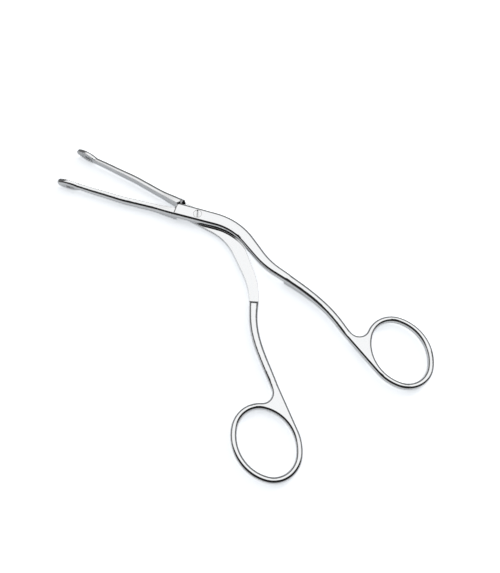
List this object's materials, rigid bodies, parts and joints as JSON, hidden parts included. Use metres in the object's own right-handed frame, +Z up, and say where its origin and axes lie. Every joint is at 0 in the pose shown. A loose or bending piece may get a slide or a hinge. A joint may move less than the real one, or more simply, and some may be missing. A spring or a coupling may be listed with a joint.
{
  "type": "magill forceps",
  "caption": "Magill forceps: two crossed steel halves that turn on a screw, with angled handles, finger rings and toothed, slotted oval jaws.",
  "frame": {"origin": "where the pivot screw's axis meets the surface that the forceps lies on, at the underside of the lap joint", "axes": "+Z up along the pivot screw towards its slotted head, -X towards the jaw tips along the line midway between the two jaws, -Y towards the side to which both handles bend"},
  "size_m": [0.2594, 0.1448, 0.0079],
  "materials": {
    "polished_steel": "mirror-polished stainless steel",
    "screw_steel": "polished stainless steel"
  },
  "bodies": {
    "lower": {"lower_half": "polished_steel", "pivot_screw": "screw_steel"},
    "upper": {"upper_half": "polished_steel"}
  },
  "joints": [
    {"name": "pivot", "type": "hinge", "parent": "lower", "child": "upper", "pos_m": [0, 0, 0.00395], "axis": [0, 0, 1], "range_deg": [-14, 26]}
  ]
}
